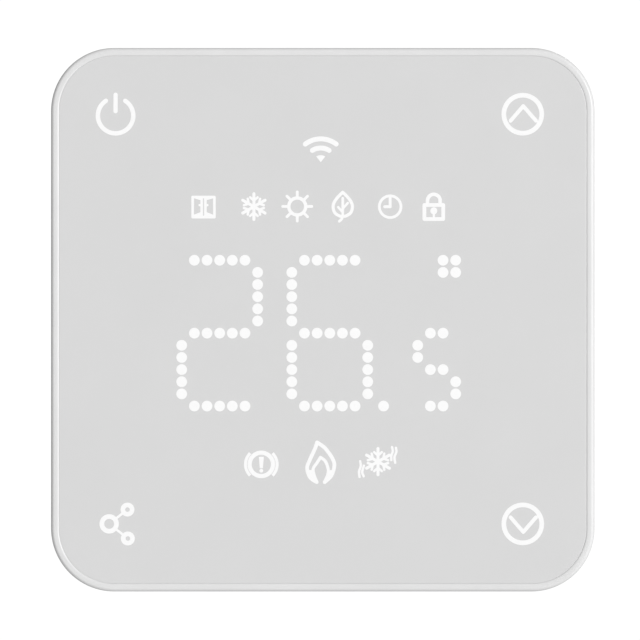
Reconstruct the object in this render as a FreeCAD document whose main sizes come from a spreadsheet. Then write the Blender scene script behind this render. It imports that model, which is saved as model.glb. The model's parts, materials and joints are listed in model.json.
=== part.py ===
"""Smart wall thermostat for a square wall box with 60 mm screw spacing.

Frame: X right, Y into the wall, Z up. The wall's face is Y = 0 and the origin is the middle of
the wall-screw pattern. The front module hangs on spring clips in front of the wall plate, and the
can behind the plate holds the power board, its relay and the wire terminals. All lengths are in
millimetres. "Front" means away from the wall, and every y below grows towards the wall.
"""
import FreeCAD, Part
import math
import os
import Sketcher

X_AXIS = FreeCAD.Vector(1, 0, 0)
Y_AXIS = FreeCAD.Vector(0, 1, 0)
Z_AXIS = FreeCAD.Vector(0, 0, 1)
START, END, CENTRE = 1, 2, 3  # the points of a sketch line or arc
ROOT = (-1, 1)  # the sketch's origin, as a constraint names it
CORNERS = ((1, -1), (1, 1), (-1, 1), (-1, -1))

doc = FreeCAD.newDocument("wall_thermostat")
sheet = doc.addObject("Spreadsheet::Sheet", "sizes")
nodes = {}


# ------------------------------------------------------------- dimensions and expressions


class Size:
    """A length that knows its value and the sheet expression that it comes from."""

    def __init__(self, value, text=None):
        self.value = float(value)
        self.text = f"{value:g}" if text is None else text

    def __add__(self, other):
        return combined(self, "+", other, self.value + as_size(other).value)

    def __radd__(self, other):
        return as_size(other) + self

    def __sub__(self, other):
        return combined(self, "-", other, self.value - as_size(other).value)

    def __rsub__(self, other):
        return as_size(other) - self

    def __mul__(self, other):
        return combined(self, "*", other, self.value * as_size(other).value)

    def __rmul__(self, other):
        return as_size(other) * self

    def __truediv__(self, other):
        return combined(self, "/", other, self.value / as_size(other).value)

    def __neg__(self):
        return 0 - self


def as_size(length):
    return length if isinstance(length, Size) else Size(length)


def combined(first, sign, second, value):
    return Size(value, f"({as_size(first).text} {sign} {as_size(second).text})")


def size(alias, value):
    """Adds one driving dimension to the sheet and returns it."""
    size.row += 1
    sheet.set(f"A{size.row}", alias)
    sheet.set(f"B{size.row}", f"{value:g}")
    sheet.setAlias(f"B{size.row}", alias)
    return Size(value, f"sizes.{alias}")


size.row = 0


def bind(obj, prop, length):
    obj.setExpression(prop, as_size(length).text)


# ------------------------------------------------------------- Part primitives and booleans


def put(obj, x, y, z):
    for axis, length in (("x", x), ("y", y), ("z", z)):
        bind(obj, f"Placement.Base.{axis}", length)


def block(name, width, depth, height, x=0, y=0, z=0):
    """A box, centred on x and z, that starts at y and runs towards the wall."""
    obj = doc.addObject("Part::Box", name)
    bind(obj, "Length", width)
    bind(obj, "Width", depth)
    bind(obj, "Height", height)
    put(obj, x - as_size(width) / 2, y, z - as_size(height) / 2)
    return obj


def cylinder(name, radius, length, axis, x, y, z):
    obj = doc.addObject("Part::Cylinder", name)
    obj.Placement = FreeCAD.Placement(FreeCAD.Vector(), FreeCAD.Rotation(Z_AXIS, axis))
    bind(obj, "Radius", radius)
    bind(obj, "Height", length)
    put(obj, x, y, z)
    return obj


def pin(name, radius, length, x=0, y=0, z=0):
    """A cylinder along Y, from y towards the wall."""
    return cylinder(name, radius, length, Y_AXIS, x, y, z)


def joined(name, *pieces):
    obj = doc.addObject("Part::MultiFuse", name)
    obj.Shapes = list(pieces)
    return obj


def group(name, pieces):
    """Separate solids that share one node."""
    obj = doc.addObject("Part::Compound", name)
    obj.Links = list(pieces)
    return obj


def cut(name, base, *tools):
    obj = doc.addObject("Part::Cut", name)
    obj.Base = base
    obj.Tool = tools[0] if len(tools) == 1 else group(name + "_tools", tools)
    return obj


def node(name, obj):
    """Registers a finished sub-part: its label is also the name of its file."""
    obj.Label = name
    nodes[name] = obj
    return obj


# ------------------------------------------------------------- PartDesign bodies and sketches


def body(name):
    return doc.addObject("PartDesign::Body", name + "_body")


def sketch(owner, name, y=0):
    """A sketch on the body's front plane at y; its own x and y are the object's x and z."""
    obj = owner.newObject("Sketcher::SketchObject", name)
    obj.AttachmentSupport = [(origin_plane(owner, "XZ_Plane"), "")]
    obj.MapMode = "FlatFace"
    bind(obj, "AttachmentOffset.Base.z", -as_size(y))
    return obj


def plan_sketch(owner, name):
    """A sketch on the body's plan plane, z = 0; its own x and y are the object's x and y."""
    obj = owner.newObject("Sketcher::SketchObject", name)
    obj.AttachmentSupport = [(origin_plane(owner, "XY_Plane"), "")]
    obj.MapMode = "FlatFace"
    return obj


def origin_plane(owner, role):
    return next(plane for plane in owner.Origin.OriginFeatures if plane.Role == role)


def constrain(obj, kind, *args):
    """Adds a constraint; a length as its last argument is bound to the sheet."""
    length = args[-1]
    if not isinstance(length, Size):
        obj.addConstraint(Sketcher.Constraint(kind, *args))
        return
    index = obj.addConstraint(Sketcher.Constraint(kind, *args[:-1], length.value))
    bind(obj, f"Constraints[{index}]", length)


def place_point(obj, geometry, point, x, z):
    constrain(obj, "DistanceX", *ROOT, geometry, point, as_size(x))
    constrain(obj, "DistanceY", *ROOT, geometry, point, as_size(z))


def at(x, z):
    return FreeCAD.Vector(as_size(x).value, as_size(z).value, 0)


def outline(obj, points):
    """A closed polygon with every corner placed by the sheet."""
    first = obj.GeometryCount
    for index, point in enumerate(points):
        following = points[(index + 1) % len(points)]
        obj.addGeometry(Part.LineSegment(at(*point), at(*following)), False)
    for index, point in enumerate(points):
        before = first + (index - 1) % len(points)
        constrain(obj, "Coincident", before, END, first + index, START)
        place_point(obj, first + index, START, *point)


def rectangle(obj, width, height, x=0, z=0):
    half_w, half_h = as_size(width) / 2, as_size(height) / 2
    outline(obj, [(x + side * half_w, z + rise * half_h) for side, rise in CORNERS])


def rounded_rectangle(obj, width, height, radius, x=0, z=0):
    """Four corner arcs joined by four tangent lines, centred on x and z."""
    half_w, half_h, radius = as_size(width) / 2, as_size(height) / 2, as_size(radius)
    first = obj.GeometryCount
    arcs = []
    for index, (side, rise) in enumerate(CORNERS):
        middle = at(x + side * (half_w - radius), z + rise * (half_h - radius))
        turn = math.radians(90 * index - 90)
        whole = Part.Circle(middle, Z_AXIS, radius.value)
        arcs.append(Part.ArcOfCircle(whole, turn, turn + math.pi / 2))
        obj.addGeometry(arcs[-1], False)
    for index in range(4):
        following = (index + 1) % 4
        line = Part.LineSegment(arcs[index].EndPoint, arcs[following].StartPoint)
        obj.addGeometry(line, False)
        constrain(obj, "Tangent", first + index, END, first + 4 + index, START)
        constrain(obj, "Tangent", first + 4 + index, END, first + following, START)
        constrain(obj, "Horizontal" if index % 2 else "Vertical", first + 4 + index)
    for index in (1, 2, 3):
        constrain(obj, "Equal", first, first + index)
    constrain(obj, "Radius", first, radius)
    for index, (kind, length) in enumerate(
        (
            ("DistanceX", x + half_w),
            ("DistanceY", z + half_h),
            ("DistanceX", x - half_w),
            ("DistanceY", z - half_h),
        )
    ):
        constrain(obj, kind, *ROOT, first + 4 + index, START, as_size(length))


def corner_points(x, z):
    """The four points at plus and minus x and z."""
    return [(side * x, rise * z) for side, rise in CORNERS]


def circle(obj, radius, x=0, z=0):
    radius = as_size(radius)
    index = obj.addGeometry(Part.Circle(at(x, z), Z_AXIS, radius.value), False)
    place_point(obj, index, CENTRE, x, z)
    constrain(obj, "Radius", index, radius)


def pad(owner, profile, length):
    """Adds material from the sketch towards the wall."""
    feature = owner.newObject("PartDesign::Pad", profile.Name + "_pad")
    feature.Profile = profile
    feature.Reversed = True
    bind(feature, "Length", length)
    return feature


def pocket(owner, profile, length):
    """Cuts from the sketch towards the wall, or downwards from a plan sketch."""
    before = volume(owner)
    feature = owner.newObject("PartDesign::Pocket", profile.Name + "_pocket")
    feature.Profile = profile
    bind(feature, "Length", length)
    if volume(owner) > before - 0.01:
        raise RuntimeError(f"{feature.Name} cuts nothing")
    return feature


def volume(owner):
    doc.recompute()
    return owner.Shape.Volume


def rounded_plate(name, side, radius, thick, y):
    """A body that is one square plate with round corners."""
    owner = body(name)
    profile = sketch(owner, name + "_outline", y)
    rounded_rectangle(profile, side, side, radius)
    pad(owner, profile, thick)
    return owner


# ------------------------------------------------------------- driving dimensions

face = size("face_side", 86)
corner = size("face_corner", 10)
projection = size("projection", 16)
reveal = size("wall_reveal", 0.4)
rim_round = size("rim_rounding", 0.8)
skirt_wall = size("skirt_wall", 1.8)
panel_side = size("panel_side", 83.4)
panel_gap = size("panel_gap", 0.1)
panel_thick = size("panel_thick", 1.8)
panel_inset = size("panel_inset", 0.1)
ledge_thick = size("ledge_thick", 1.4)
mask_side = size("mask_side", 72.8)
mask_corner = size("mask_corner", 3.6)
mask_thick = size("mask_thick", 2.4)
film_thick = size("film_thick", 0.3)
fit_gap = size("fit_gap", 0.2)
control_side = size("control_board_side", 81.6)
control_thick = size("control_board_thick", 1.4)
rear_space = size("rear_component_space", 3.1)
cover_thick = size("cover_thick", 1.2)
module_screw = size("module_screw_offset", 37)
screw_spacing = size("wall_screw_spacing", 60)
slot_long = size("wall_slot_long", 8)
slot_wide = size("wall_slot_wide", 4.6)
bracket_thick = size("bracket_thick", 1)
flange_side = size("flange_side", 80.6)
flange_thick = size("flange_thick", 2)
can_side = size("can_side", 50)
can_wall = size("can_wall", 1.6)
can_depth = size("can_depth", 26)
step_depth = size("can_step_depth", 18)
step_level = size("can_step_level", -11)
power_front = size("power_board_front", 1.6)
power_thick = size("power_board_thick", 1.6)
power_side = size("power_board_side", 46.2)
plate_screw_x = size("plate_screw_x", 27.6)
plate_screw_z = size("plate_screw_z", 19)
board_screw_x = size("board_screw_x", 20.9)
board_screw_z = size("board_screw_z", -7)
header_level = size("header_level", -9.6)
header_pitch = size("header_pitch", 2.54)
dot_pitch_x = size("dot_pitch_across", 2)
dot_pitch_z = size("dot_pitch_up", 1.92)
dot_radius = size("dot_radius", 0.85)
key_well = size("key_well_radius", 3.3)
terminal_pitch = size("terminal_pitch", 6.35)
clip_level = size("clip_level", 18)
clip_wide = size("clip_wide", 7)

bezel_front = -projection
panel_front = bezel_front + panel_inset
ledge_front = panel_front + panel_thick
ledge_back = ledge_front + ledge_thick
mask_front = ledge_front + film_thick
control_front = mask_front + mask_thick
control_back = control_front + control_thick
cover_front = control_back + rear_space
flange_front = -flange_thick
bracket_front = flange_front - bracket_thick
power_back = power_front + power_thick
inner_side = face - 2 * skirt_wall
can_inner = can_side - 2 * can_wall

# places on the face, as (x, z)
KEYS = ((-32.7, 32.3), (31.6, 32.4), (31.6, -32.4), (-32.2, -32.3))
ICON_ROW = [(x, 17.9) for x in (-18.9, -10.9, -4.0, 3.1, 10.6, 17.5)]
LARGE_ICONS = ((-0.3, 25.9), (-9.7, -22.8), (-0.4, -22.5), (8.8, -22.4))
ICON_WELL, LARGE_WELL = 2.7, 3.6
SENSOR_X = -12


# ------------------------------------------------------------- display layout


def digit_dots(left, top, reach):
    """The dots of a seven-segment digit whose strokes are reach dots long."""
    far = reach + 1
    for stroke in range(1, far):
        for row in (0, far, 2 * far):
            yield left + stroke * dot_pitch_x, top - row * dot_pitch_z
        for row in (stroke, far + stroke):
            for column in (0, far):
                yield left + column * dot_pitch_x, top - row * dot_pitch_z


def display_dots():
    """Two large digits, a point, one small digit and the degree mark."""
    top = size("display_top", 9.4)
    tens_left = size("tens_left", -22.3)
    ones_left = size("ones_left", -4.9)
    small_left = size("small_left", 15)
    small_top = top - 6 * dot_pitch_z
    yield from digit_dots(tens_left, top, 5)
    yield from digit_dots(ones_left, top, 5)
    yield from digit_dots(small_left, small_top, 2)
    yield ones_left + 7.25 * dot_pitch_x, top - 12 * dot_pitch_z
    for column in (2, 3):
        for row in (0, 1):
            yield small_left + column * dot_pitch_x, top - row * dot_pitch_z


# ------------------------------------------------------------- front module: covers and optics


def make_front_panel():
    radius = corner - (face - panel_side) / 2
    node("front_panel", rounded_plate("panel", panel_side, radius, panel_thick, panel_front))


def make_bezel_frame():
    """The frame: a rim round the panel, a ledge behind it and a skirt back to the wall."""
    owner = body("bezel")
    profile = sketch(owner, "bezel_outline", bezel_front)
    rounded_rectangle(profile, face, face, corner)
    solid = pad(owner, profile, projection - reveal)
    doc.recompute()
    rim = owner.newObject("PartDesign::Fillet", "bezel_rim")
    rim.Base = (solid, front_edges(solid))
    bind(rim, "Radius", rim_round)
    recess = panel_side + 2 * panel_gap
    profile = sketch(owner, "bezel_recess", bezel_front)
    rounded_rectangle(profile, recess, recess, corner - (face - recess) / 2)
    pocket(owner, profile, panel_inset + panel_thick)
    profile = sketch(owner, "bezel_window", ledge_front)
    window = mask_side + 2 * fit_gap
    rounded_rectangle(profile, window, window, mask_corner + fit_gap)
    pocket(owner, profile, ledge_thick)
    profile = sketch(owner, "bezel_cavity", ledge_back)
    rounded_rectangle(profile, inner_side, inner_side, corner - skirt_wall)
    pocket(owner, profile, -reveal - ledge_back)
    add_bezel_bosses(owner)
    add_bezel_catches(owner)
    node("bezel_frame", add_bezel_vents(owner))


def front_edges(feature):
    """The names of the edges that lie in the bezel's front face."""
    names = []
    for index, edge in enumerate(feature.Shape.Edges, start=1):
        if edge.BoundBox.YMax < bezel_front.value + 0.001:
            names.append(f"Edge{index}")
    return names


def add_bezel_bosses(owner):
    """Four screw bosses behind the ledge's corners, with blind pilot holes."""
    boss_radius = size("bezel_boss_radius", 2)
    pilot_radius = size("bezel_pilot_radius", 0.8)
    bosses = sketch(owner, "bezel_bosses", ledge_back)
    pilots = sketch(owner, "bezel_pilots", ledge_front + 0.3)
    for x, z in corner_points(module_screw, module_screw):
        circle(bosses, boss_radius, x, z)
        circle(pilots, pilot_radius, x, z)
    pad(owner, bosses, control_front - ledge_back)
    pocket(owner, pilots, control_front - ledge_front)


def add_bezel_catches(owner):
    """Shallow pockets inside the two side walls, where the spring clips snap in."""
    catch_deep = size("catch_deep", 0.6)
    profile = sketch(owner, "bezel_catches", -4.9)
    for side, rise in CORNERS:
        middle = side * (inner_side + catch_deep) / 2
        rectangle(profile, catch_deep, 9, middle, rise * clip_level)
    pocket(owner, profile, 1.6)


def add_bezel_vents(owner):
    """A row of vents through the top and bottom walls, and the notch for prying it off."""
    vent_wide = size("vent_wide", 1.4)
    vent_pitch = size("vent_pitch", 3.2)
    count = 15
    notch = plan_sketch(owner, "bezel_notch")
    rectangle(notch, 12, 1.2, 0, -reveal - 0.6)
    pocket(owner, notch, face / 2)
    vent = plan_sketch(owner, "bezel_vent")
    rectangle(vent, vent_wide, 5, -(count - 1) / 2 * vent_pitch, -7.2)
    first = pocket(owner, vent, face / 2 + 1)
    first.SideType = "Symmetric"
    bind(first, "Length", face + 2)
    row = owner.newObject("PartDesign::LinearPattern", "bezel_vent_row")
    row.Originals = [first]
    row.Direction = (vent, ["H_Axis"])
    bind(row, "Length", (count - 1) * vent_pitch)
    row.Occurrences = count
    owner.Tip = row
    return owner


def make_diffuser_film():
    plate = rounded_plate("film", mask_side, mask_corner, film_thick, ledge_front)
    holes = [
        pin(f"film_hole_{index}", key_well, film_thick, x, ledge_front, z)
        for index, (x, z) in enumerate(KEYS)
    ]
    node("diffuser_film", cut("film_cut", plate, *holes))


def make_light_mask():
    """The black block whose wells keep the light of each dot and icon apart."""
    plate = rounded_plate("mask", mask_side, mask_corner, mask_thick, mask_front)
    wells = [(x, z, dot_radius) for x, z in DOTS]
    wells += [(x, z, key_well) for x, z in KEYS]
    wells += [(x, z, ICON_WELL) for x, z in ICON_ROW]
    wells += [(x, z, LARGE_WELL) for x, z in LARGE_ICONS]
    holes = [
        pin(f"well_{index}", radius, mask_thick, x, mask_front, z)
        for index, (x, z, radius) in enumerate(wells)
    ]
    node("light_mask", cut("mask_cut", plate, *holes))


def make_display_leds():
    high = size("led_high", 0.45)
    lamps = [
        block(f"led_{index}", 1, high, 0.5, x, control_front - high, z)
        for index, (x, z) in enumerate([*DOTS, *KEYS, *ICON_ROW, *LARGE_ICONS])
    ]
    node("display_leds", group("led_group", lamps))


# ------------------------------------------------------------- front module: electronics


def make_control_board():
    plate = rounded_plate("control", control_side, corner - 2.4, control_thick, control_front)
    radius = size("board_hole_radius", 1.15)
    holes = [
        pin(f"control_hole_{k}", radius, control_thick, x, control_front, z)
        for k, (x, z) in enumerate(corner_points(module_screw, module_screw))
    ]
    notch = block("sensor_notch", 6, control_thick, 6, SENSOR_X, control_front, -control_side / 2)
    node("control_board", cut("control_cut", plate, *holes, notch))


def make_touch_springs():
    """A C-shaped leaf behind each touch key, pressed between the board and the panel."""
    strip = size("touch_strip_thick", 0.15)
    wide = size("touch_strip_wide", 2)
    long = size("touch_strip_long", 3.2)
    gap = control_front - ledge_front
    springs = []
    for index, (x, z) in enumerate(KEYS):
        level = z - 0.85 * wide
        end = x + (long - strip) / 2
        foot = block(f"touch_foot_{index}", long, strip, wide, x, control_front - strip, level)
        tip = block(f"touch_tip_{index}", long, strip, wide, x, ledge_front, level)
        side = block(f"touch_side_{index}", strip, gap, wide, end, ledge_front, level)
        springs.append(joined(f"touch_spring_{index}", foot, side, tip))
    node("touch_springs", group("spring_group", springs))


def make_wifi_module():
    x, z = 24, 14
    board_thick = size("wifi_board_thick", 0.8)
    shield_high = size("wifi_shield_high", 2.1)
    node("wifi_board", block("wifi_plate", 18, board_thick, 25, x, control_back, z))
    shield_front = control_back + board_thick
    outside = block("shield_out", 15.6, shield_high, 17.6, x, shield_front, z - 2.4)
    inside = block("shield_in", 15.2, shield_high - 0.2, 17.2, x, shield_front, z - 2.4)
    node("wifi_shield", cut("shield_cut", outside, inside))


def make_chips():
    chip_high = size("controller_high", 1.4)
    node("controller_chip", block("controller", 10, chip_high, 10, -4, control_back, 14))
    driver_high = size("driver_high", 2.3)
    drivers = [
        block(f"driver_{k}", 7.5, driver_high, 10.3, -24, control_back, z)
        for k, z in enumerate((12, -4))
    ]
    node("led_driver_chips", group("driver_group", drivers))


def make_buzzer():
    side = size("buzzer_side", 9)
    high = size("buzzer_high", 2.6)
    case = block("buzzer_case", side, high, side, 26, control_back, -14)
    hole = pin("buzzer_hole", 1, 1, 26, control_back + high - 1, -14)
    node("buzzer", cut("buzzer_cut", case, hole))


def make_temperature_sensor():
    """A bead on two wires, standing clear of the board beside the lower vents."""
    bead_radius = size("bead_radius", 1.1)
    lead_radius = size("lead_radius", 0.2)
    stand_off = 1
    low, high = -40.1, -35
    y = control_back + stand_off
    pieces = [cylinder("bead", bead_radius, 2 * bead_radius, Z_AXIS, SENSOR_X, y, low)]
    for k, side in enumerate((-0.6, 0.6)):
        x = SENSOR_X + side
        pieces.append(cylinder(f"lead_{k}", lead_radius, high - low - 1, Z_AXIS, x, y, low + 1))
        pieces.append(block(f"lead_foot_{k}", 0.6, stand_off + 0.3, 0.6, x, control_back, high))
    node("temperature_sensor", joined("sensor_joined", *pieces))


def make_board_socket():
    """The eight-way socket that the power board's pins plug into."""
    long = 8 * header_pitch
    deep = size("socket_deep", 5)
    shell = block("socket_shell", long, deep, 2.5, 0, control_back, header_level)
    holes = [
        block(f"socket_hole_{k}", 1, deep - 0.4, 1, x, control_back + 0.4, header_level)
        for k, x in enumerate(header_columns())
    ]
    node("board_socket", cut("socket_cut", shell, *holes))


def header_columns():
    return [(column - 3.5) * header_pitch for column in range(8)]


def make_board_passives():
    """Small resistors and capacitors round the controller and the drivers."""
    places = [(-14 + 3 * column, 24 + 2.4 * row) for column in range(7) for row in range(2)]
    places += [(-14 + 3 * column, 4) for column in range(7)]
    places += [(-34 + 2.6 * column, -24) for column in range(4)]
    places += [(12 + 2.6 * column, -24) for column in range(4)]
    chips = [
        block(f"passive_{k}", 1.6, 0.6, 0.8, x, control_back, z)
        for k, (x, z) in enumerate(places)
    ]
    node("board_passives", group("passive_group", chips))


def make_module_back_cover():
    """The plate that closes the front module, with spacers that press on the board."""
    side = inner_side - 1.2
    owner = rounded_plate("back_cover", side, corner - 2.4, cover_thick, cover_front)
    spacers = sketch(owner, "back_cover_spacers", control_back)
    holes = sketch(owner, "back_cover_holes", control_back)
    for x, z in corner_points(module_screw, module_screw):
        circle(spacers, 2.4, x, z)
        circle(holes, 1.2, x, z)
    pad(owner, spacers, rear_space + cover_thick)
    pocket(owner, holes, rear_space + cover_thick)
    openings = sketch(owner, "back_cover_openings", cover_front)
    rectangle(openings, 8 * header_pitch + 1, 3.5, 0, header_level)
    for column in range(-4, 5):
        rectangle(openings, 2, 9, 5.2 * column, -30)
        rectangle(openings, 2, 9, 5.2 * column, 30)
    pocket(owner, openings, cover_thick)
    node("module_back_cover", owner)


def screw(name, head_radius, head_high, shank_radius, length, x, seat, z, to_wall=True):
    """A screw along Y whose head sits on the plane y = seat, with a cross recess."""
    recess_deep = 0.8
    if to_wall:
        head_start, shank_start = seat - head_high, seat
        recess_start = head_start
    else:
        head_start, shank_start = seat, seat - length
        recess_start = seat + head_high - recess_deep
    head = pin(name + "_head", head_radius, head_high, x, head_start, z)
    shank = pin(name + "_shank", shank_radius, length, x, shank_start, z)
    across = block(name + "_across", head_radius, recess_deep, 0.45, x, recess_start, z)
    up = block(name + "_up", 0.45, recess_deep, head_radius, x, recess_start, z)
    return cut(name, joined(name + "_solid", head, shank), across, up)


def make_board_screws():
    head = size("module_screw_head", 1.8)
    shank = size("module_screw_shank", 0.78)
    seat = cover_front + cover_thick
    screws = [
        screw(f"board_screw_{k}", head, 1.2, shank, 8, x, seat, z, to_wall=False)
        for k, (x, z) in enumerate(corner_points(module_screw, module_screw))
    ]
    node("board_screws", group("board_screw_group", screws))


# ------------------------------------------------------------- wall plate and can


def make_base_housing():
    """The plate against the wall and the can that reaches into the wall box."""
    owner = rounded_plate("base", flange_side, corner - 2.7, flange_thick, flange_front)
    can_corner = size("can_corner", 4)
    profile = sketch(owner, "can_shallow", 0)
    rounded_rectangle(profile, can_side, can_side, can_corner)
    pad(owner, profile, step_depth)
    deep_high = can_side / 2 - step_level
    deep_middle = (can_side / 2 + step_level) / 2
    profile = sketch(owner, "can_deep", 0)
    rounded_rectangle(profile, can_side, deep_high, can_corner, 0, deep_middle)
    pad(owner, profile, can_depth)
    bosses = sketch(owner, "plate_bosses", 0)
    for x, z in corner_points(plate_screw_x, plate_screw_z):
        circle(bosses, 2.9, x, z)
    pad(owner, bosses, 7.5)
    inside_corner = can_corner - can_wall
    profile = sketch(owner, "can_inside_shallow", flange_front)
    rounded_rectangle(profile, can_inner, can_inner, inside_corner)
    pocket(owner, profile, flange_thick + step_depth - can_wall)
    profile = sketch(owner, "can_inside_deep", flange_front)
    inside_high = deep_high - 2 * can_wall
    rounded_rectangle(profile, can_inner, inside_high, inside_corner, 0, deep_middle)
    pocket(owner, profile, flange_thick + can_depth - can_wall)
    profile = sketch(owner, "terminal_window", power_back + 0.2)
    window_wide = 6 * terminal_pitch + 0.8
    window_high = can_side / 2 + step_level + 0.2
    rectangle(profile, window_wide, window_high, 0, (window_high - can_side) / 2 - 0.1)
    pocket(owner, profile, step_depth)
    add_board_posts(owner)
    add_base_holes(owner)
    node("base_housing", add_can_vents(owner))


def add_board_posts(owner):
    """Two screw posts on the side walls and two stops on the top wall carry the power board."""
    posts = sketch(owner, "board_posts", power_back)
    pilots = sketch(owner, "board_post_pilots", power_back)
    for side in (-1, 1):
        circle(posts, 2.55, side * board_screw_x, board_screw_z)
        circle(pilots, 0.9, side * board_screw_x, board_screw_z)
        rectangle(posts, 4, 1.4, side * 12, can_inner / 2 - 0.6)
    pad(owner, posts, 8)
    pocket(owner, pilots, 7)


def add_base_holes(owner):
    """The wall-screw slots, two each way, and the pilots for the bracket's screws."""
    slots = sketch(owner, "base_slots", flange_front)
    add_wall_slots(slots)
    pocket(owner, slots, flange_thick)
    pilots = sketch(owner, "plate_pilots", flange_front)
    for x, z in corner_points(plate_screw_x, plate_screw_z):
        circle(pilots, 1.05, x, z)
    pocket(owner, pilots, 8.5)


def add_wall_slots(profile):
    """Four slots on the 60 mm spacing, each running along the line of its pair."""
    for side in (-1, 1):
        middle = side * screw_spacing / 2
        rounded_rectangle(profile, slot_long, slot_wide, slot_wide / 2 - 0.01, middle, 0)
        rounded_rectangle(profile, slot_wide, slot_long, slot_wide / 2 - 0.01, 0, middle)


def add_can_vents(owner):
    """Slits through the can's top wall over the warm parts of the power board."""
    pitch = size("can_vent_pitch", 4)
    count = 9
    vent = plan_sketch(owner, "can_vent")
    bind(vent, "AttachmentOffset.Base.z", can_side / 2)
    rectangle(vent, 1.6, 10, -(count - 1) / 2 * pitch, 18)
    first = pocket(owner, vent, can_wall)
    row = owner.newObject("PartDesign::LinearPattern", "can_vent_row")
    row.Originals = [first]
    row.Direction = (vent, ["H_Axis"])
    bind(row, "Length", (count - 1) * pitch)
    row.Occurrences = count
    owner.Tip = row
    return owner


def make_mounting_bracket():
    """The pressed steel plate that takes the wall screws and carries the spring clips."""
    side = size("bracket_side", 78)
    owner = rounded_plate("bracket", side, 6, bracket_thick, bracket_front)
    holes = sketch(owner, "bracket_holes", bracket_front)
    opening = can_inner + 0.8
    rounded_rectangle(holes, opening, opening, 3)
    add_wall_slots(holes)
    for x, z in corner_points(plate_screw_x, plate_screw_z):
        circle(holes, 1.4, x, z)
    pocket(owner, holes, bracket_thick)
    node("mounting_bracket", owner)


def make_retaining_springs():
    """Four bent leaf springs; each arm's knee sits in a catch of the bezel frame."""
    strip = 0.4
    outer = [(32.5, 0), (38.9, 0), (41.35, -1.2), (40.1, -2.4)]  # foot, bend, knee, tip
    inner = [(32.5, -strip), (38.8, -strip), (40.8, -1.2), (39.8, -2.1)]
    owner = body("clip")
    profile = plan_sketch(owner, "clip_profile")
    bind(profile, "AttachmentOffset.Base.z", clip_level - clip_wide / 2)
    outline(profile, [(x, bracket_front + y) for x, y in outer + inner[::-1]])
    feature = owner.newObject("PartDesign::Pad", "clip_pad")
    feature.Profile = profile
    bind(feature, "Length", clip_wide)
    pair = group("clip_pair", [owner, mirrored("clip_low", owner, Z_AXIS)])
    node("retaining_springs", group("clip_group", [pair, mirrored("clip_left", pair, X_AXIS)]))


def mirrored(name, source, normal):
    obj = doc.addObject("Part::Mirroring", name)
    obj.Source = source
    obj.Normal = normal
    return obj


def make_bracket_screws():
    screws = [
        screw(f"plate_screw_{k}", 2.3, 1.6, 1.02, 8, x, bracket_front, z)
        for k, (x, z) in enumerate(corner_points(plate_screw_x, plate_screw_z))
    ]
    node("bracket_screws", group("plate_screw_group", screws))


def make_board_cover():
    """The insulating lid over the power board, with posts that press on the board."""
    owner = rounded_plate("lid", can_inner - 2 * fit_gap, 2.2, cover_thick, flange_front)
    posts = sketch(owner, "lid_posts", flange_front)
    holes = sketch(owner, "lid_holes", flange_front)
    for side in (-1, 1):
        circle(posts, 2.2, side * board_screw_x, board_screw_z)
        circle(posts, 1.2, side * 12, 21)
        circle(holes, 1.2, side * board_screw_x, board_screw_z)
    pad(owner, posts, power_front - flange_front)
    rectangle(holes, 8 * header_pitch + 0.6, 3.2, 0, header_level)
    pocket(owner, holes, power_front - flange_front)
    node("board_cover", owner)


def make_cover_screws():
    screws = [
        screw(f"lid_screw_{k}", 1.9, 1.3, 0.88, 11, x, flange_front, board_screw_z)
        for k, x in enumerate((-board_screw_x, board_screw_x))
    ]
    node("cover_screws", group("lid_screw_group", screws))


# ------------------------------------------------------------- power board and its parts


def make_power_board():
    plate = rounded_plate("power", power_side, 2, power_thick, power_front)
    places = [(x, board_screw_z, 1.2) for x in (-board_screw_x, board_screw_x)]
    places += [(x, header_level, 0.5) for x in header_columns()]
    places += [(x, BAR_TAIL, 0.8) for x in TERMINALS]
    holes = [
        pin(f"power_hole_{k}", radius, power_thick, x, power_front, z)
        for k, (x, z, radius) in enumerate(places)
    ]
    node("power_board", cut("power_cut", plate, *holes))


def make_header():
    """The eight pins that carry power and signals to the front module, and their holder."""
    long = 8 * header_pitch
    holder_deep = size("header_deep", 2.5)
    holder_front = power_front - holder_deep
    holder = block("header_holder", long, holder_deep, 2.5, 0, holder_front, header_level)
    side = size("header_pin_side", 0.64)
    pin_front = control_back + 0.8
    pin_long = power_back + 1.2 - pin_front
    holes = [
        block(f"header_hole_{k}", side, holder_deep, side, x, holder_front, header_level)
        for k, x in enumerate(header_columns())
    ]
    pins = [
        block(f"header_pin_{k}", side, pin_long, side, x, pin_front, header_level)
        for k, x in enumerate(header_columns())
    ]
    node("pin_header", cut("header_cut", holder, *holes))
    node("header_pins", group("header_pin_group", pins))


def make_transformer():
    """Two E-cores closed round a winding whose axis is upright."""
    x, z = 15.4, 15.4
    middle = power_back + 7
    core_front = middle - 2.3
    core = block("core_block", 12.8, 4.6, 12.8, x, core_front, z)
    left = block("core_window_left", 2.7, 4.6, 8.4, x - 3.3, core_front, z)
    right = block("core_window_right", 2.7, 4.6, 8.4, x + 3.3, core_front, z)
    node("transformer_core", cut("core_cut", core, left, right))
    coil = block("coil_block", 9, 9.4, 8, x, middle - 4.7, z)
    leg = block("coil_leg", 4.1, 4.8, 8, x, middle - 2.4, z)
    node("transformer_coil", cut("coil_cut", coil, leg))


def can_capacitor(name, radius, high, x, z):
    """An upright electrolytic capacitor with the groove that its sleeve is crimped into."""
    can = pin(name + "_can", radius, high, x, power_back, z)
    ring = doc.addObject("Part::Torus", name + "_groove")
    ring.Placement = FreeCAD.Placement(FreeCAD.Vector(), FreeCAD.Rotation(Z_AXIS, Y_AXIS))
    bind(ring, "Radius1", radius + 0.1)
    ring.Radius2 = 0.4
    put(ring, x, power_back + 1.6, z)
    node(name, cut(name + "_cut", can, ring))


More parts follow.
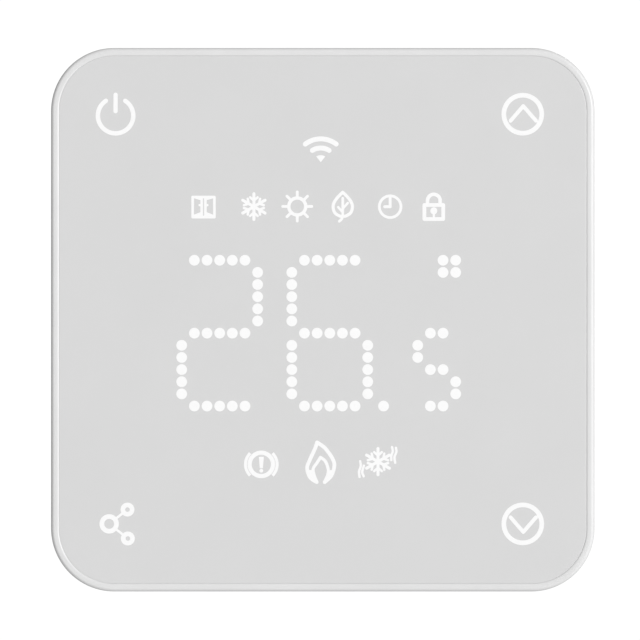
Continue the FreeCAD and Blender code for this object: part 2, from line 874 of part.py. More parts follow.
def make_small_power_parts():
    can_capacitor("main_capacitor", size("main_capacitor_radius", 5), 16, -16.6, 2.6)
    can_capacitor("output_capacitor", size("output_capacitor_radius", 4), 11.5, 14.2, 2.8)
    node("film_capacitor", block("film_box", 13, 11, 5, -6.5, power_back, -5.6))
    node("rectifier", block("bridge", 8.3, 3.2, 6.4, -7, power_back, 0.6))
    node("converter_chip", block("converter", 9.4, 3.4, 6.4, 3.5, power_back, 0.6))
    node("varistor", cylinder("varistor_disc", 4.5, 4, Z_AXIS, 3, power_back + 5.5, 4.3))
    node("fuse", block("fuse_cap", 8.4, 7.6, 4, -7, power_back, 6.2))
    bobbin = pin("inductor_bobbin", 3, 1, 7, power_back, -5.9)
    winding = pin("inductor_winding", 2.6, 6, 7, power_back + 1, -5.9)
    top = pin("inductor_top", 3, 1, 7, power_back + 7, -5.9)
    node("inductor", joined("inductor_joined", bobbin, winding, top))


# ------------------------------------------------------------- relay

RELAY_LEFT, RELAY_MIDDLE = -21.8, 15.5


def relay_block(name, width, deep, high, x, y, z=0.0):
    """A box in the relay: x from its left wall, y from its seat on the board, z from its middle."""
    return block(name, width, deep, high, RELAY_LEFT + x, power_back + y, RELAY_MIDDLE + z)


def make_relay_case():
    long = size("relay_long", 29)
    high = size("relay_high", 15.7)
    wide = size("relay_wide", 12.7)
    wall = size("relay_wall", 0.6)
    outside = relay_block("relay_out", long, high, wide, long / 2, 0)
    inside = relay_block("relay_in", long - 2 * wall, high - wall, wide - 2 * wall, long / 2, 0)
    node("relay_case", cut("relay_case_cut", outside, inside))
    fit = 2 * wall + 0.2
    node("relay_base", relay_block("relay_floor", long - fit, 1.8, wide - fit, long / 2, 0.1))


def relay_rod(name, radius, length, x):
    """A round piece on the coil's axis."""
    return cylinder(name, radius, length, X_AXIS, RELAY_LEFT + x, power_back + 8.4, RELAY_MIDDLE)


def make_relay_coil():
    """The bobbin, its winding, and the L-shaped yoke with the core that passes through them."""
    tube = relay_rod("bobbin_tube", 2.6, 13.6, 2.6)
    left = relay_block("bobbin_left", 0.8, 9.2, 10, 3.0, 3.8)
    right = relay_block("bobbin_right", 0.8, 9.2, 10, 15.8, 3.8)
    whole = joined("bobbin_joined", tube, left, right)
    node("relay_bobbin", cut("bobbin_cut", whole, relay_rod("bobbin_bore", 2.1, 14, 2.4)))
    winding = relay_rod("coil_winding", 4.3, 12, 3.4)
    node("relay_coil", cut("coil_bored", winding, relay_rod("coil_bore", 2.6, 12, 3.4)))
    core = relay_rod("yoke_core", 2.05, 14.8, 2.2)
    end = relay_block("yoke_end", 1.2, 11.2, 9, 1.6, 2.2)
    foot = relay_block("yoke_foot", 16.5, 1.2, 9, 9.25, 2.2)
    node("relay_yoke", joined("yoke_joined", core, end, foot))


def make_relay_contacts():
    """The hinged armature, the card on it, its contact leaf, and the two fixed contacts."""
    armature = relay_block("armature_plate", 1, 11.6, 9, 18.2, 2.4)
    node("relay_armature", armature)
    node("relay_card", relay_block("card", 5.2, 1, 6, 21.3, 13.0))
    leaf = relay_block("leaf", 0.3, 9.8, 4.5, 24.05, 4.2)
    near = contact_button("leaf_near_button", 0.5, 1.3, 23.4)
    far = contact_button("leaf_far_button", 0.5, 1.3, 24.2)
    node("relay_moving_contact", joined("leaf_joined", leaf, near, far))
    opened = relay_block("fixed_open", 0.4, 10, 4.5, 21.75, 1.9)
    closed = relay_block("fixed_closed", 0.4, 10, 4.5, 26.4, 1.9)
    open_button = contact_button("open_button", 0.87, 1.3, 21.95)
    closed_button = contact_button("closed_button", 1.45, 1.3, 24.75)
    open_contact = joined("open_joined", opened, open_button)
    closed_contact = joined("closed_joined", closed, closed_button)
    node("relay_fixed_contacts", group("fixed_group", [open_contact, closed_contact]))


def contact_button(name, length, radius, x):
    height = power_back + 10.2
    return cylinder(name, radius, length, X_AXIS, RELAY_LEFT + x, height, RELAY_MIDDLE)


# ------------------------------------------------------------- wire terminals

TERMINALS = [(place - 2.5) * terminal_pitch for place in range(6)]
BLOCK_BACK = -11.0
SCREW_LEVEL = -18.4
BAR_TAIL = -13.8


def make_terminal_blocks():
    """Two three-way blocks: wires go in from below and their screws face the back."""
    high = size("terminal_high", 14.2)
    deep = size("terminal_deep", 12.2)
    middle = BLOCK_BACK - deep / 2
    for name, places in (("left", TERMINALS[:3]), ("right", TERMINALS[3:])):
        wide = 3 * terminal_pitch
        shell = block(f"{name}_shell", wide, high, deep, places[1], power_back, middle)
        tools = [
            tool for k, x in enumerate(places) for tool in terminal_tools(f"{name}_{k}", x)
        ]
        node(f"terminal_block_{name}", cut(f"{name}_block_cut", shell, *tools))


def terminal_tools(label, x):
    """What is cut for one wire: its cage's chamber, entry, screw hole and the bar's tail."""
    return [
        block(label + "_chamber", 5.2, 10.4, 9.8, x, power_back + 1, -17.1),
        block(label + "_entry", 4.6, 4.4, 1.4, x, power_back + 1.8, -22.6),
        pin(label + "_shaft", 1.6, 1, x, power_back + 11.3, SCREW_LEVEL),
        pin(label + "_head", 2.4, 2.2, x, power_back + 12.2, SCREW_LEVEL),
        block(label + "_tail", 1.6, 1.2, 1.2, x, power_back - 0.1, BAR_TAIL),
    ]


def make_contact_bars():
    """Each wire is clamped up against the bar that passes through its cage."""
    bars = []
    for k, x in enumerate(TERMINALS):
        top = power_back + 6.1
        bar = block(f"bar_{k}", 3.6, 0.8, 7.8, x, top, -17.3)
        leg = block(f"bar_leg_{k}", 3.6, 5.1, 0.8, x, power_back + 1, BAR_TAIL)
        tail = block(f"bar_tail_{k}", 1.2, 3.4, 0.8, x, power_back - 2.4, BAR_TAIL)
        bars.append(joined(f"bar_joined_{k}", bar, leg, tail))
    node("contact_bars", group("bar_group", bars))


def make_clamps():
    """One cage and one screw per wire; the screw turns in place and draws the cage up."""
    for k, x in enumerate(TERMINALS, start=1):
        cage = block(f"cage_{k}", 4.9, 7.7, 6, x, power_back + 1.1, SCREW_LEVEL)
        inside = block(f"cage_in_{k}", 4.1, 5.3, 6, x, power_back + 1.9, SCREW_LEVEL)
        thread = pin(f"cage_thread_{k}", 1.5, 1.8, x, power_back + 7.1, SCREW_LEVEL)
        node(f"clamp_cage_{k}", cut(f"cage_cut_{k}", cage, inside, thread))
        head = pin(f"clamp_head_{k}", 2.2, 1.8, x, power_back + 12.2, SCREW_LEVEL)
        shank = pin(f"clamp_shank_{k}", 1.45, 4.9, x, power_back + 7.3, SCREW_LEVEL)
        slit = block(f"clamp_slit_{k}", 4.6, 1, 0.7, x, power_back + 13, SCREW_LEVEL)
        whole = joined(f"clamp_solid_{k}", head, shank)
        node(f"terminal_screw_{k}", cut(f"clamp_screw_{k}", whole, slit))


# ------------------------------------------------------------- build, check and write


def build():
    make_front_panel()
    make_bezel_frame()
    make_diffuser_film()
    make_light_mask()
    make_display_leds()
    make_control_board()
    make_touch_springs()
    make_wifi_module()
    make_chips()
    make_buzzer()
    make_temperature_sensor()
    make_board_socket()
    make_board_passives()
    make_module_back_cover()
    make_board_screws()
    make_base_housing()
    make_mounting_bracket()
    make_retaining_springs()
    make_bracket_screws()
    make_board_cover()
    make_cover_screws()
    make_power_board()
    make_header()
    make_transformer()
    make_small_power_parts()
    make_relay_case()
    make_relay_coil()
    make_relay_contacts()
    make_terminal_blocks()
    make_contact_bars()
    make_clamps()


def check():
    doc.recompute()
    for obj in doc.Objects:
        if {"Invalid", "Error"} & set(obj.State):
            raise RuntimeError(f"{obj.Name} failed: {obj.State}")
    for name, obj in nodes.items():
        if obj.Shape.isNull() or not obj.Shape.isValid() or not obj.Shape.Solids:
            raise RuntimeError(f"{name} has no valid solid")


def write():
    os.makedirs("parts", exist_ok=True)
    for name, obj in nodes.items():
        obj.Shape.exportStep(f"parts/{name}.step")
        print(f"{name:24s} {len(obj.Shape.Solids):4d} solids {obj.Shape.Volume:10.1f} mm3")


DOTS = list(display_dots())
build()
check()
write()
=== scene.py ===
"""Looks of the wall thermostat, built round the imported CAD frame.

Lengths in the tables below are millimetres, turned into metres where a mesh is made. Places come
from the frame's own boxes: the face's middle is x = z = 0, and "front" means towards -Y.
"""
import json
import math

import bmesh
import bpy
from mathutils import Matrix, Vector


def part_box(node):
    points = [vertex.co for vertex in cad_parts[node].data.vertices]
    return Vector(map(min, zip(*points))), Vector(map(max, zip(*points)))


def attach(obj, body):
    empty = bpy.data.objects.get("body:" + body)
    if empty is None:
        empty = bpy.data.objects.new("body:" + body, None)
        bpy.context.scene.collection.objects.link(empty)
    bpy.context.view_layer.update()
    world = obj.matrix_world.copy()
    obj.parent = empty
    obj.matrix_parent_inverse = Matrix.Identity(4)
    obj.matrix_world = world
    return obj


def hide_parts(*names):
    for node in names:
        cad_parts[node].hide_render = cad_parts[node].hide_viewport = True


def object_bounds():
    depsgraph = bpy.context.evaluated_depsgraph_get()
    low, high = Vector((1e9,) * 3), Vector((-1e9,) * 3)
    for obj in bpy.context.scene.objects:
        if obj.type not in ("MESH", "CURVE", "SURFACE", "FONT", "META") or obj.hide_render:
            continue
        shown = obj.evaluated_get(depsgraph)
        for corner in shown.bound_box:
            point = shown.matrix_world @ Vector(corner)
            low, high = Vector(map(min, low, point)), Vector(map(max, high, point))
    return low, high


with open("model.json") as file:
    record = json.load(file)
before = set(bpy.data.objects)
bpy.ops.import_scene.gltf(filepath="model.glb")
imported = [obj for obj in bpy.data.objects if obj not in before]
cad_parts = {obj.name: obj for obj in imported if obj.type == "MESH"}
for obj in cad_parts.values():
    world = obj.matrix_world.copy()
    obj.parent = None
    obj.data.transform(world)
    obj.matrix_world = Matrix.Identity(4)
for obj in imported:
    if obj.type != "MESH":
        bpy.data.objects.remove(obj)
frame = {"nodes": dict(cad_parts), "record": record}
CAD_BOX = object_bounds()
MM = 0.001
FRONT_BODY = "front_module"

FACE_LOW, FACE_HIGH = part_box("bezel_frame")
PANEL_LOW, PANEL_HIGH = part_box("front_panel")
BEZEL_FRONT = FACE_LOW.y
BEZEL_BACK = FACE_HIGH.y
PANEL_FRONT = PANEL_LOW.y
PANEL_BACK = PANEL_HIGH.y
HALF_FACE = FACE_HIGH.x
CORNER = 10 * MM
CORNER_STEPS = 28
SHARP_ANGLE = 35
# the radians that a wave texture turns through per unit along one axis, by its bands' direction
WAVE_TURN = {"X": 20, "DIAGONAL": 10}


# ------------------------------------------------------------- materials


class Look:
    """One procedural material: a Principled shader and the node chains that feed it."""

    def __init__(self, name, colour, roughness, metallic=0.0, **sockets):
        self.material = bpy.data.materials.new(name)
        self.material.use_nodes = True
        self.nodes = self.material.node_tree.nodes
        self.shader = self.nodes["Principled BSDF"]
        self.colour = (*colour, 1)
        self.shader.inputs["Base Color"].default_value = self.colour
        self.shader.inputs["Roughness"].default_value = roughness
        self.shader.inputs["Metallic"].default_value = metallic
        self.roughness = roughness
        self.bumps = []
        for socket, value in sockets.items():
            self.shader.inputs[socket.replace("_", " ")].default_value = value

    def link(self, source, target):
        self.material.node_tree.links.new(source, target)

    def node(self, kind, **values):
        made = self.nodes.new("ShaderNode" + kind)
        for key, value in values.items():
            setattr(made, key, value)
        return made

    def place(self, stretch=(1, 1, 1)):
        """The surface's place in metres, stretched along the axes."""
        source = self.node("TexCoord")
        mapping = self.node("Mapping")
        mapping.inputs["Scale"].default_value = stretch
        self.link(source.outputs["Object"], mapping.inputs["Vector"])
        return mapping.outputs["Vector"]

    def noise(self, size_mm, detail=4.0, stretch=(1, 1, 1)):
        """Noise whose blobs are about size_mm across."""
        made = self.node("TexNoise")
        made.inputs["Scale"].default_value = 1 / (size_mm * MM)
        made.inputs["Detail"].default_value = detail
        self.link(self.place(stretch), made.inputs["Vector"])
        return made.outputs["Fac"]

    def waves(self, spacing_mm, vector, direction, distortion, detail):
        """Smooth parallel lines, spacing_mm apart as measured along an axis."""
        made = self.node("TexWave", bands_direction=direction, wave_profile="SIN")
        period = WAVE_TURN[direction] * spacing_mm * MM
        made.inputs["Scale"].default_value = 2 * math.pi / period
        made.inputs["Distortion"].default_value = distortion
        made.inputs["Detail"].default_value = detail
        self.link(vector, made.inputs["Vector"])
        return made.outputs["Fac"]

    def ramp(self, factor, low, high, start=0.3, end=0.7):
        """Maps a factor from start..end onto low..high."""
        made = self.node("MapRange")
        made.inputs["From Min"].default_value = start
        made.inputs["From Max"].default_value = end
        made.inputs["To Min"].default_value = low
        made.inputs["To Max"].default_value = high
        self.link(factor, made.inputs["Value"])
        return made.outputs["Result"]

    def tint(self, factor, other, amount=1.0):
        """Mixes the colour so far with another one where the factor is high."""
        mix = self.node("Mix", data_type="RGBA")
        source = self.shader.inputs["Base Color"]
        if source.is_linked:
            self.link(source.links[0].from_socket, mix.inputs["A"])
        else:
            mix.inputs["A"].default_value = self.colour
        mix.inputs["B"].default_value = (*other, 1)
        self.link(self.ramp(factor, 0, amount), mix.inputs["Factor"])
        self.link(mix.outputs["Result"], source)
        return self

    def polish(self, factor, spread):
        """Varies the roughness round its value."""
        low, high = self.roughness - spread, self.roughness + spread
        self.link(self.ramp(factor, low, high), self.shader.inputs["Roughness"])
        return self

    def bump(self, factor, height_mm, strength=1.0):
        made = self.node("Bump")
        made.inputs["Strength"].default_value = strength
        made.inputs["Distance"].default_value = height_mm * MM
        self.link(factor, made.inputs["Height"])
        if self.bumps:
            self.link(self.bumps[-1].outputs["Normal"], made.inputs["Normal"])
        self.bumps.append(made)
        self.link(made.outputs["Normal"], self.shader.inputs["Normal"])
        return self


def shade(colour, factor):
    return tuple(min(1.0, channel * factor) for channel in colour)


def moulded(name, colour, roughness=0.42, grain_mm=0.25, depth_mm=0.004, **sockets):
    """Injection-moulded plastic: spark-eroded grain, faint mottling, uneven sheen."""
    look = Look(name, colour, roughness, **sockets)
    look.tint(look.noise(7), shade(colour, 0.94), 0.5)
    look.polish(look.noise(3), 0.05)
    look.bump(look.noise(grain_mm, 2), depth_mm)
    return look.material


def sheet_metal(name, colour, roughness, stretch=(1, 1, 9), **sockets):
    """Rolled or plated sheet: fine streaks one way, cloudy plating, small scratches."""
    look = Look(name, colour, roughness, 1.0, **sockets)
    look.tint(look.noise(5, 5), shade(colour, 0.8), 0.6)
    look.polish(look.noise(1.2, 6), 0.08)
    look.bump(look.noise(1.5, 2, stretch), 0.0015)
    return look.material


def wound_wire(name, colour):
    """Layers of enamelled wire lying side by side along the winding's axis, with painted shade in
    the grooves between them.
    """
    look = Look(name, colour, 0.28, 0.85, Coat_Weight=0.5)
    wires = look.waves(0.6, look.place((1, 1, 0)), "DIAGONAL", 0.3, 2)
    # painted shade: the grooves between neighbouring wires are darkened towards a third of the
    # wire's colour
    look.tint(look.ramp(wires, 1, 0, 0.0, 0.5), shade(colour, 0.35), 0.8)
    look.bump(wires, 0.04)
    look.polish(look.noise(1.5), 0.06)
    return look.material


def cast_part(name, colour, roughness=0.55, grain_mm=0.5, depth_mm=0.01, **sockets):
    """Ferrite, epoxy and other cast or pressed pieces with a coarser skin."""
    look = Look(name, colour, roughness, **sockets)
    look.tint(look.noise(grain_mm * 3, 6), shade(colour, 1.35), 0.6)
    look.polish(look.noise(grain_mm * 2), 0.08)
    look.bump(look.noise(grain_mm, 5), depth_mm)
    return look.material


def circuit_board(name, mask, copper):
    """Solder mask over copper: patches of fine tracks that run both ways, and scattered vias."""
    look = Look(name, mask, 0.32, Coat_Weight=0.4, Coat_Roughness=0.15)
    patches = look.noise(11, 1)
    look.tint(look.noise(16, 2), shade(mask, 1.25), 0.7)
    for turn, spacing, low, high in ((0, 1.1, 0.54, 0.56), (90, 1.3, 0.44, 0.42)):
        mapping = look.node("Mapping")
        mapping.inputs["Rotation"].default_value = (0, math.radians(turn), 0)
        look.link(look.place(), mapping.inputs["Vector"])
        tracks = look.waves(spacing, mapping.outputs["Vector"], "X", 0.4, 0)
        part = look.node("Math", operation="MULTIPLY")
        look.link(look.ramp(tracks, 0, 1, 0.72, 0.8), part.inputs[0])
        look.link(look.ramp(patches, 0, 1, low, high), part.inputs[1])
        look.tint(part.outputs["Value"], copper, 0.8)
        look.bump(part.outputs["Value"], 0.015)
    vias = look.node("TexVoronoi", feature="F1")
    vias.inputs["Scale"].default_value = 1 / (4 * MM)
    look.link(look.place((1, 0, 1)), vias.inputs["Vector"])
    look.tint(look.ramp(vias.outputs["Distance"], 1, 0, 0.07, 0.1), (0.62, 0.45, 0.16))
    look.polish(look.noise(2), 0.06)
    return look.material


def lit_print(name, glow):
    """The part of the printed panel that is lit from behind."""
    look = Look(name, PANEL_GREY, 0.38, Emission_Strength=glow)
    look.shader.inputs["Emission Color"].default_value = (1, 1, 1, 1)
    look.tint(look.noise(0.6, 2), shade(PANEL_GREY, 0.97), 0.5)
    look.polish(look.noise(2), 0.04)
    return look.material


def panel_glass(name):
    """The hard-coated, back-printed panel: an even light grey under a clear gloss."""
    look = Look(name, PANEL_GREY, 0.38, Coat_Weight=0.25, Coat_Roughness=0.12, Coat_IOR=1.5)
    look.tint(look.noise(14, 2), shade(PANEL_GREY, 0.985), 0.6)
    look.polish(look.noise(9, 3), 0.05)
    look.bump(look.noise(0.2, 2), 0.0004)
    return look.material


PANEL_GREY = (0.70, 0.70, 0.70)
WHITE_SHELL = moulded("shell_white", (0.78, 0.78, 0.78), 0.36, 0.18, 0.0015)
LIT_PRINT = lit_print("lit_print", 0.27)


# ------------------------------------------------------------- mesh helpers


def link_mesh(name, mesh):
    piece = bpy.data.objects.new(name, mesh)
    bpy.context.scene.collection.objects.link(piece)
    return piece


def to_mesh(name, made):
    """Turns a bmesh into a mesh and frees it."""
    mesh = bpy.data.meshes.new(name)
    made.to_mesh(mesh)
    made.free()
    return mesh


def new_piece(name, mesh, material):
    """A visible piece of the front module."""
    piece = link_mesh(name, mesh)
    mesh.materials.append(material)
    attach(piece, FRONT_BODY)
    return piece


def mark_sharp(mesh):
    """Smooth shading, with the edges over the sharp angle left sharp."""
    mesh.shade_smooth()
    mesh.set_sharp_from_angle(angle=math.radians(SHARP_ANGLE))


def rounded_loop(inset, y):
    """Points round the face's outline, moved in by inset, at depth y; all in metres."""
    half = HALF_FACE - inset
    radius = CORNER - inset
    points = []
    for quarter in range(4):
        side = (1, -1, -1, 1)[quarter]
        rise = (1, 1, -1, -1)[quarter]
        for step in range(CORNER_STEPS + 1):
            angle = math.radians(90 * quarter + 90 * step / CORNER_STEPS)
            x = side * (half - radius) + radius * math.cos(angle)
            z = rise * (half - radius) + radius * math.sin(angle)
            points.append(Vector((x, y, z)))
    return points


def skin(name, loops, cap_first=False, cap_last=False, ring=False):
    """A mesh that joins equal loops of points; ring joins the last loop to the first."""
    made = bmesh.new()
    rows = [[made.verts.new(point) for point in loop] for loop in loops]
    pairs = list(zip(rows, rows[1:])) + ([(rows[-1], rows[0])] if ring else [])
    for low, high in pairs:
        for index in range(len(low)):
            after = (index + 1) % len(low)
            made.faces.new((low[index], low[after], high[after], high[index]))
    if cap_first:
        made.faces.new(rows[0])
    if cap_last:
        made.faces.new(rows[-1])
    bmesh.ops.recalc_face_normals(made, faces=made.faces)
    return to_mesh(name, made)


def arc_profile(middle, radii, start, end, steps):
    """Points (inset, y) of a quarter-round between two angles, in degrees."""
    points = []
    for step in range(steps + 1):
        angle = math.radians(start + (end - start) * step / steps)
        inset = middle[0] + radii[0] * math.cos(angle)
        y = middle[1] + radii[1] * math.sin(angle)
        points.append((inset, y))
    return points


# ------------------------------------------------------------- bezel and panel


def bezel_profile():
    """The bezel's section, from its back edge over the rim and the ledge into the cavity."""
    seam = 0.004 * MM
    rim = HALF_FACE - PANEL_HIGH.x - seam
    back_edge = 0.25 * MM
    outer = (0.6 * MM, 0.8 * MM)
    inner = (0.32 * MM, 0.18 * MM)
    lip = (rim - inner[0] * math.sin(math.radians(60)), BEZEL_FRONT + inner[1])
    ledge_back = PANEL_BACK + 1.4 * MM
    window, skirt = 6.4 * MM, 1.8 * MM
    profile = [(back_edge, BEZEL_BACK), (0, BEZEL_BACK - back_edge)]
    profile += arc_profile((outer[0], BEZEL_FRONT + outer[1]), outer, 180, 270, 10)
    profile += arc_profile(lip, inner, 270, 330, 5)
    profile += [(rim, PANEL_BACK), (window, PANEL_BACK), (window, ledge_back), (skirt, ledge_back)]
    profile += [(skirt, BEZEL_BACK)]
    return profile


def cutter_boxes(boxes):
    """One object of separate boxes, each given as its middle and its span."""
    made = bmesh.new()
    for middle, span in boxes:
        cube = bmesh.ops.create_cube(made, size=1)
        for vertex in cube["verts"]:
            for axis in range(3):
                vertex.co[axis] = middle[axis] + vertex.co[axis] * span[axis]
    return link_mesh("cutter", to_mesh("cutter", made))


def apply_modifiers(piece):
    """Replaces the piece's mesh with its evaluated one and clears its modifiers."""
    graph = bpy.context.evaluated_depsgraph_get()
    mesh = bpy.data.meshes.new_from_object(piece.evaluated_get(graph))
    piece.modifiers.clear()
    old, piece.data = piece.data, mesh
    bpy.data.meshes.remove(old)


def combine(piece, other, operation):
    """A boolean with another object, which is then removed."""
    modifier = piece.modifiers.new("combine", "BOOLEAN")
    modifier.operation = operation
    modifier.solver = "EXACT"
    modifier.object = other
    apply_modifiers(piece)
    bpy.data.objects.remove(other)


def make_bezel():
    """The white frame, with vents through its top and bottom walls and a notch to pry it off."""
    mesh = skin("bezel_shell", [rounded_loop(*point) for point in bezel_profile()], ring=True)
    bezel = new_piece("bezel_shell", mesh, WHITE_SHELL)
    wall_middle = HALF_FACE - 0.9 * MM
    vent_pitch, vent_depth, vents_a_side = 3.2 * MM, -7.2 * MM, 7
    vent_span, notch_span = (1.4 * MM, 5 * MM, 3 * MM), (12 * MM, 1.2 * MM, 3 * MM)
    boxes = []
    for column in range(-vents_a_side, vents_a_side + 1):
        for level in (-wall_middle, wall_middle):
            boxes.append(((column * vent_pitch, vent_depth, level), vent_span))
    boxes.append(((0, BEZEL_BACK - 0.5 * MM, -wall_middle), notch_span))
    combine(bezel, cutter_boxes(boxes), "DIFFERENCE")
    mark_sharp(bezel.data)
    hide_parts("bezel_frame")


def make_panel():
    """The panel, whose front falls away a little at its edge towards the seam."""
    edge, drop = 0.2 * MM, 0.035 * MM
    inset = HALF_FACE - PANEL_HIGH.x
    loops = [(inset + 4 * MM, PANEL_FRONT), (inset + 1 * MM, PANEL_FRONT)]
    loops += arc_profile((inset + edge, PANEL_FRONT + drop), (edge, drop), 270, 195, 5)
    loops += [(inset, PANEL_BACK)]
    rows = [rounded_loop(*loop) for loop in loops]
    mesh = skin("touch_panel", rows, cap_first=True, cap_last=True)
    panel = new_piece("touch_panel", mesh, panel_glass("panel_grey"))
    mark_sharp(panel.data)
    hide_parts("front_panel")


# ------------------------------------------------------------- lit print on the panel

PRINT_PROUD, PRINT_SUNK = 0.012 * MM, 0.03 * MM


def prism(outline, hole=None):
    """A flat closed solid of the outline, just proud of the panel's front; mm in, metres out."""
    front, back = PANEL_FRONT - PRINT_PROUD, PANEL_FRONT + PRINT_SUNK
    made = bmesh.new()
    rims = []
    for loop in [outline] + ([hole] if hole else []):
        rings = []
        for y in (front, back):
            rings.append([made.verts.new((x * MM, y, z * MM)) for x, z in loop])
        for index in range(len(loop)):
            after = (index + 1) % len(loop)
            made.faces.new((rings[0][index], rings[0][after], rings[1][after], rings[1][index]))
        rims.append(rings)
    for level in (0, 1):
        if hole is None:
            made.faces.new(rims[0][level])
            continue
        outer, inner = rims[0][level], rims[1][level]
        for index in range(len(outer)):
            after = (index + 1) % len(outer)
            made.faces.new((outer[index], outer[after], inner[after], inner[index]))
    bmesh.ops.recalc_face_normals(made, faces=made.faces)
    return made


def circle_points(x, z, radius, steps=48):
    turns = [2 * math.pi * step / steps for step in range(steps)]
    return [(x + radius * math.cos(turn), z + radius * math.sin(turn)) for turn in turns]


def arc_points(x, z, radius, start, end, steps=24):
    turns = [math.radians(start + (end - start) * step / steps) for step in range(steps + 1)]
    return [(x + radius * math.cos(turn), z + radius * math.sin(turn)) for turn in turns]


def smooth_points(points, steps=8):
    """A Catmull-Rom curve through the points."""
    padded = [points[0], *points, points[-1]]
    made = []
    for before, start, end, after in zip(padded, padded[1:], padded[2:], padded[3:]):
        for step in range(steps):
            u = step / steps
            made.append(tuple(catmull_rom(u, *values) for values in zip(before, start, end, after)))
    return made + [points[-1]]


def catmull_rom(u, before, start, end, after):
    cubic = -before + 3 * start - 3 * end + after
    square = 2 * before - 5 * start + 4 * end - after
    return 0.5 * (2 * start + (end - before) * u + square * u * u + cubic * u**3)


def stroke(points, width, round_ends=True):
    """The outline of a line of the given width through the points."""
    half = width / 2
    left, right = [], []
    last = len(points) - 1
    for index, (x, z) in enumerate(points):
        ahead, behind = points[min(index + 1, last)], points[max(index - 1, 0)]
        run = Vector((ahead[0] - behind[0], ahead[1] - behind[1])).normalized()
        left.append((x - run.y * half, z + run.x * half))
        right.append((x + run.y * half, z - run.x * half))
    start = round_end(points[0], points[1], half) if round_ends else []
    end = round_end(points[-1], points[-2], half) if round_ends else []
    return left + end + right[::-1] + start


def round_end(tip, inner, half, steps=8):
    """The half circle round a line's end, from its left side to its right as seen from inner."""
    heading = math.atan2(tip[1] - inner[1], tip[0] - inner[0])
    turns = [heading + math.pi / 2 - math.pi * step / steps for step in range(1, steps)]
    return [(tip[0] + half * math.cos(turn), tip[1] + half * math.sin(turn)) for turn in turns]


def lit_piece(name, shapes):
    """One lit mark on the panel, with its overlapping shapes merged into one solid."""
    parts = [link_mesh(name, to_mesh(name, shape)) for shape in shapes]
    piece = parts[0]
    for part in parts[1:]:
        combine(piece, part, "UNION")
    clean = bmesh.new()
    clean.from_mesh(piece.data)
    bmesh.ops.dissolve_degenerate(clean, edges=clean.edges, dist=0.0001 * MM)
    clean.to_mesh(piece.data)
    clean.free()
    piece.name = name
    piece.data.materials.append(LIT_PRINT)
    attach(piece, FRONT_BODY)


def ring(x, z, radius, width):
    return prism(circle_points(x, z, radius + width / 2), circle_points(x, z, radius - width / 2))


def line(points, width):
    return prism(stroke(points, width))


def disc(x, z, radius):
    return prism(circle_points(x, z, radius))


def moved(points, x, z):
    return [(x + px, z + pz) for px, pz in points]


DOT_PITCH_X, DOT_PITCH_Z, DOT_RADIUS = 2.0, 1.92, 0.85
DISPLAY_TOP, TENS_LEFT, ONES_LEFT, SMALL_LEFT = 9.4, -22.3, -4.9, 15.0
SEGMENTS = {2: "abged", 5: "afgcd", 6: "afgecd"}


def segment_dots(segment, reach):
    """The dots (column, row) of one of a digit's seven strokes, named a to g as usual."""
    far = reach + 1
    steps = range(1, far)
    return {
        "a": [(step, 0) for step in steps],
        "b": [(far, step) for step in steps],
        "c": [(far, far + step) for step in steps],
        "d": [(step, 2 * far) for step in steps],
        "e": [(0, far + step) for step in steps],
        "f": [(0, step) for step in steps],
        "g": [(step, far) for step in steps],
    }[segment]


def dot_group(name, left, top, places):
    """Round lit dots on the display's grid, as one piece of separate discs."""
    made = bmesh.new()
    for column, row in places:
        shape = disc(left + column * DOT_PITCH_X, top - row * DOT_PITCH_Z, DOT_RADIUS)
        mesh = to_mesh("dot", shape)
        made.from_mesh(mesh)
        bpy.data.meshes.remove(mesh)
    new_piece(name, to_mesh(name, made), LIT_PRINT)


def make_display():
    """The reading, two large digits and a small one, with its point and degree mark."""
    for name, left, top, reach, digit in (
        ("digit_tens", TENS_LEFT, DISPLAY_TOP, 5, 2),
        ("digit_ones", ONES_LEFT, DISPLAY_TOP, 5, 6),
        ("digit_tenths", SMALL_LEFT, DISPLAY_TOP - 6 * DOT_PITCH_Z, 2, 5),
    ):
        places = [dot for segment in SEGMENTS[digit] for dot in segment_dots(segment, reach)]
        dot_group(name, left, top, places)
    dot_group("decimal_point", ONES_LEFT, DISPLAY_TOP, [(7.25, 12)])
    dot_group("degree_mark", SMALL_LEFT, DISPLAY_TOP, [(2, 0), (3, 0), (2, 1), (3, 1)])


# ------------------------------------------------------------- icons


def snowflake(x, z, reach, width):
    """Three bars across the middle, with a V of two short branches on each of the six arms."""
    shapes = []
    for arm in range(6):
        turn = math.radians(90 + 60 * arm)
        out = Vector((math.cos(turn), math.sin(turn))) * reach
        side = Vector((-out.y, out.x))
        middle = Vector((x, z))
        if arm < 3:
            shapes.append(line([middle - out, middle + out], width))
        for across in (-0.29, 0.29):
            tip = middle + 0.72 * out + across * side
            shapes.append(line([middle + 0.46 * out, tip], 0.8 * width))
    return shapes


def make_power_icon(x=-32.75, z=32.25):
    gap = 33
    shapes = [line(arc_points(x, z, 2.8, 90 + gap, 450 - gap, 48), 0.7)]
    shapes.append(line([(x, z + 3.3), (x, z + 0.7)], 0.68))
    lit_piece("icon_power", shapes)


def make_arrow_icon(name, x, z, way):
    points = moved([(-1.92, -1.03 * way), (0.08, 1.28 * way), (2.09, -1.03 * way)], x, z)
    shapes = [ring(x, z, 3.0, 0.74)]
    shapes.append(line(points[:2], 0.62))
    shapes.append(line(points[1:], 0.62))
    lit_piece(name, shapes)


def make_link_icon(x=-33.76, z=-32.26):
    small = ((-30.87, -30.0), (-30.81, -34.57))
    shapes = [ring(x, z, 1.16, 0.75)]
    for sx, sz in small:
        shapes.append(ring(sx, sz, 0.73, 0.74))
        run = Vector((sx - x, sz - z))
        start = Vector((x, z)) + run * (1.3 / run.length)
        end = Vector((sx, sz)) - run * (0.8 / run.length)
        shapes.append(line([tuple(start), tuple(end)], 0.38))
    lit_piece("icon_link", shapes)


